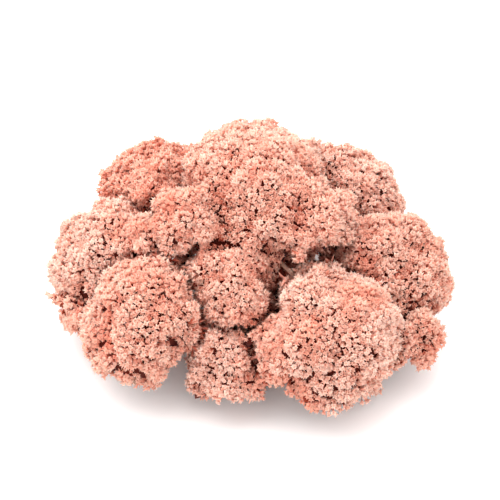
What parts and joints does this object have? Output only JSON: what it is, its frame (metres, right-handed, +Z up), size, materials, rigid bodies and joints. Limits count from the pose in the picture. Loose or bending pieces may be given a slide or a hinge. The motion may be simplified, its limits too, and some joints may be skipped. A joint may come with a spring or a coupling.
{
  "type": "reindeer moss clump",
  "caption": "Low cushion of dyed reindeer moss: rounded cauliflower-like heads of fine branchlets, pressed together over bare stems and resting on a small flat foot.",
  "frame": {"origin": "on the surface that the clump rests on, under the middle of its bounding box", "axes": "+Z up, +X along the clump's longest extent, -Y towards the side with the two large lacy heads, which is the side the picture shows"},
  "size_m": [0.084, 0.0768, 0.0441],
  "materials": {
    "moss_rose": "matte felty branchlets dyed salmon pink, darker and browner inside",
    "moss_pale": "matte felty branchlets dyed pale cream pink, darker and browner inside",
    "moss_salmon": "matte felty branchlets dyed deeper salmon, darker and browner inside"
  },
  "bodies": {
    "root": {"crown_head": "moss_rose", "front_head": "moss_pale", "front_left_head": "moss_rose", "left_head": "moss_pale", "back_left_head": "moss_salmon", "back_head": "moss_rose", "back_right_head": "moss_pale", "right_head": "moss_rose"}
  },
  "joints": []
}
